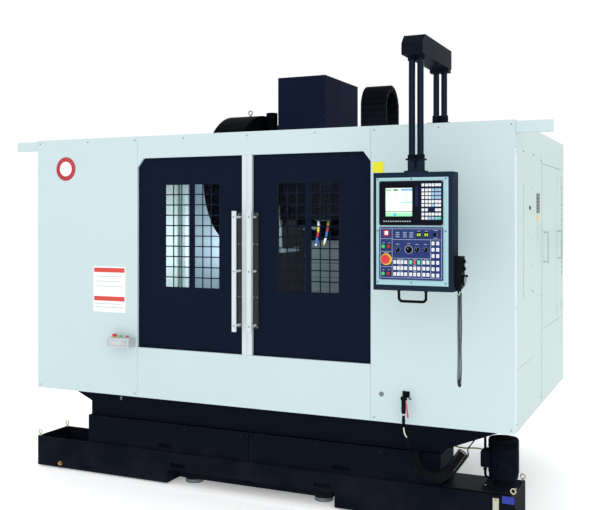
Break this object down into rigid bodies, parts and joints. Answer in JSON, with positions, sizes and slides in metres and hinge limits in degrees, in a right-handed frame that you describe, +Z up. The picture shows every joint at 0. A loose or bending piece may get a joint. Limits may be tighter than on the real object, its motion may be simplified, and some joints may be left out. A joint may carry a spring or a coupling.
{
  "type": "cnc machining center",
  "caption": "Vertical machining center in a full sheet-metal enclosure with sliding front doors, a swivelling operator pendant, a tool magazine and a front coolant tank.",
  "frame": {"origin": "on the floor, at the middle of the machine's width and of its whole depth from the pendant to the bed's rear end", "axes": "+Z up, -Y towards the operator (the door side), +X to the right as the operator faces the machine"},
  "size_m": [4.48, 3.39, 3.311],
  "materials": {
    "casting": "satin",
    "machined_iron": "ground",
    "ground_steel": "ground",
    "pale_panel": "satin",
    "navy_panel": "satin",
    "dark_base": "satin",
    "black_metal": "semi-matt",
    "grey_metal": "satin",
    "handle_grey": "satin anodised",
    "pane": "clear",
    "pad_steel": "blackened",
    "black_plastic": "matt",
    "blue_panel": "semi-gloss",
    "red_plastic": "glossy",
    "green_plastic": "glossy",
    "grey_plastic": "matt",
    "hose_rubber": "satin",
    "gun_plastic": "satin",
    "chrome_part": "polished"
  },
  "bodies": {
    "machine": {"bed": "casting", "leveling_pads": "pad_steel", "column": "casting", "way_shield": "ground_steel", "magazine_cover": "black_metal", "cable_carrier": "black_plastic", "frame_tubes": "dark_base", "front_panels": "pale_panel", "header_and_sill": "pale_panel", "side_panels": "pale_panel", "rear_and_roof_panels": "pale_panel", "door_track": "pale_panel", "cabinet_box": "grey_metal", "coolant_tank": "dark_base", "tank_fittings": "dark_base", "coolant_pump": "black_metal", "chip_trays": "dark_base", "chute": "dark_base", "button_box": "pale_panel", "pendant_posts": "black_metal", "air_gun": "gun_plastic", "air_hose_tails": "hose_rubber", "air_hose_coil": "hose_rubber"},
    "saddle_body": {"saddle": "casting"},
    "table_body": {"table": "machined_iron"},
    "head_body": {"head": "black_metal", "head_cover": "navy_panel"},
    "spindle_body": {"spindle": "ground_steel"},
    "magazine_body": {"magazine_disc": "grey_metal"},
    "arm_body": {"tool_arm": "ground_steel"},
    "door_left_body": {"door_left": "navy_panel", "door_left_glass": "pane", "door_left_handle": "handle_grey"},
    "door_right_body": {"door_right": "navy_panel", "door_right_glass": "pane", "door_right_handle": "handle_grey"},
    "cabinet_front_body": {"cabinet_door_front": "pale_panel"},
    "cabinet_rear_body": {"cabinet_door_rear": "pale_panel"},
    "box_e_stop_body": {"box_e_stop": "red_plastic"},
    "box_green_body": {"box_green_button": "green_plastic"},
    "box_red_body": {"box_red_button": "red_plastic"},
    "pendant_arm_body": {"pendant_arm": "black_metal"},
    "pendant_body": {"pendant_box": "black_metal", "screen_unit": "black_plastic", "operator_panel": "blue_panel", "pendant_handle": "black_metal", "handwheel_box": "black_plastic", "handwheel_cord": "hose_rubber"},
    "pendant_e_stop_body": {"pendant_e_stop": "red_plastic"},
    "power_on_body": {"power_on_button": "green_plastic"},
    "power_off_body": {"power_off_button": "red_plastic"},
    "cycle_start_body": {"cycle_start_button": "green_plastic"},
    "feed_hold_body": {"feed_hold_button": "red_plastic"},
    "mode_knob_body": {"mode_knob": "black_plastic"},
    "feed_knob_body": {"feed_knob": "black_plastic"},
    "rapid_knob_body": {"rapid_knob": "black_plastic"},
    "spindle_knob_body": {"spindle_knob": "black_plastic"},
    "key_switch_body": {"key_switch": "chrome_part"},
    "handwheel_dial_body": {"handwheel_dial": "black_plastic"},
    "trigger_body": {"air_gun_trigger": "red_plastic"}
  },
  "joints": [
    {"name": "saddle_slide", "type": "slide", "parent": "machine", "child": "saddle_body", "axis": [0, 1, 0], "range_m": [-0.4, 0.4]},
    {"name": "table_slide", "type": "slide", "parent": "saddle_body", "child": "table_body", "axis": [1, 0, 0], "range_m": [-0.8, 0.8]},
    {"name": "head_slide", "type": "slide", "parent": "machine", "child": "head_body", "axis": [0, 0, 1], "range_m": [-0.75, 0], "deforming": ["way_shield"]},
    {"name": "spindle_spin", "type": "hinge", "parent": "head_body", "child": "spindle_body", "pos_m": [0, 0.085, 2], "axis": [0, 0, 1], "continuous": true},
    {"name": "magazine_spin", "type": "hinge", "parent": "machine", "child": "magazine_body", "pos_m": [-0.6, 0.055, 2.43], "axis": [1, 0, 0], "continuous": true},
    {"name": "tool_arm_swing", "type": "hinge", "parent": "machine", "child": "arm_body", "pos_m": [-0.295, 0.085, 1.81], "axis": [0, 0, 1], "range_deg": [0, 90]},
    {"name": "door_left_slide", "type": "slide", "parent": "machine", "child": "door_left_body", "axis": [-1, 0, 0], "range_m": [0, 0.86]},
    {"name": "door_right_slide", "type": "slide", "parent": "machine", "child": "door_right_body", "axis": [1, 0, 0], "range_m": [0, 0.86]},
    {"name": "cabinet_front_hinge", "type": "hinge", "parent": "machine", "child": "cabinet_front_body", "pos_m": [2, 0.787, 1.875], "axis": [0, 0, 1], "range_deg": [0, 100]},
    {"name": "cabinet_rear_hinge", "type": "hinge", "parent": "machine", "child": "cabinet_rear_body", "pos_m": [2, 1.012, 1.875], "axis": [0, 0, 1], "range_deg": [0, 100]},
    {"name": "box_e_stop_press", "type": "slide", "parent": "machine", "child": "box_e_stop_body", "axis": [0, 0, -1], "range_m": [0, 0.0055], "stiffness_N_per_m": 800},
    {"name": "box_green_press", "type": "slide", "parent": "machine", "child": "box_green_body", "axis": [0, 0, -1], "range_m": [0, 0.0035], "stiffness_N_per_m": 800},
    {"name": "box_red_press", "type": "slide", "parent": "machine", "child": "box_red_body", "axis": [0, 0, -1], "range_m": [0, 0.0035], "stiffness_N_per_m": 800},
    {"name": "pendant_arm_swing", "type": "hinge", "parent": "machine", "child": "pendant_arm_body", "pos_m": [1.472, -1.015, 3.15], "axis": [0, 0, 1], "range_deg": [-30, 30]},
    {"name": "pendant_swivel", "type": "hinge", "parent": "pendant_arm_body", "child": "pendant_body", "pos_m": [1.472, -1.585, 2.42], "axis": [0, 0, 1], "range_deg": [-60, 60]},
    {"name": "pendant_e_stop_press", "type": "slide", "parent": "pendant_body", "child": "pendant_e_stop_body", "axis": [0, 1, 0], "range_m": [0, 0.006], "stiffness_N_per_m": 800},
    {"name": "power_on_press", "type": "slide", "parent": "pendant_body", "child": "power_on_body", "axis": [0, 1, 0], "range_m": [0, 0.0035], "stiffness_N_per_m": 400},
    {"name": "power_off_press", "type": "slide", "parent": "pendant_body", "child": "power_off_body", "axis": [0, 1, 0], "range_m": [0, 0.0035], "stiffness_N_per_m": 400},
    {"name": "cycle_start_press", "type": "slide", "parent": "pendant_body", "child": "cycle_start_body", "axis": [0, 1, 0], "range_m": [0, 0.0035], "stiffness_N_per_m": 400},
    {"name": "feed_hold_press", "type": "slide", "parent": "pendant_body", "child": "feed_hold_body", "axis": [0, 1, 0], "range_m": [0, 0.0035], "stiffness_N_per_m": 400},
    {"name": "mode_knob_turn", "type": "hinge", "parent": "pendant_body", "child": "mode_knob_body", "pos_m": [1.373, -1.661, 1.9], "axis": [0, 1, 0], "range_deg": [-120, 120]},
    {"name": "feed_knob_turn", "type": "hinge", "parent": "pendant_body", "child": "feed_knob_body", "pos_m": [1.446, -1.661, 1.9], "axis": [0, 1, 0], "range_deg": [-150, 150]},
    {"name": "rapid_knob_turn", "type": "hinge", "parent": "pendant_body", "child": "rapid_knob_body", "pos_m": [1.5, -1.661, 1.9], "axis": [0, 1, 0], "range_deg": [-60, 60]},
    {"name": "spindle_knob_turn", "type": "hinge", "parent": "pendant_body", "child": "spindle_knob_body", "pos_m": [1.555, -1.661, 1.9], "axis": [0, 1, 0], "range_deg": [-100, 100]},
    {"name": "key_switch_turn", "type": "hinge", "parent": "pendant_body", "child": "key_switch_body", "pos_m": [1.619, -1.661, 1.995], "axis": [0, 1, 0], "range_deg": [0, 90]},
    {"name": "handwheel_turn", "type": "hinge", "parent": "pendant_body", "child": "handwheel_dial_body", "pos_m": [1.769, -1.568, 1.715], "axis": [1, 0, 0], "continuous": true},
    {"name": "trigger_squeeze", "type": "hinge", "parent": "machine", "child": "trigger_body", "pos_m": [1.267, -1.155, 0.824], "axis": [0, 1, 0], "range_deg": [0, 6], "stiffness_Nm_per_rad": 0.8}
  ]
}
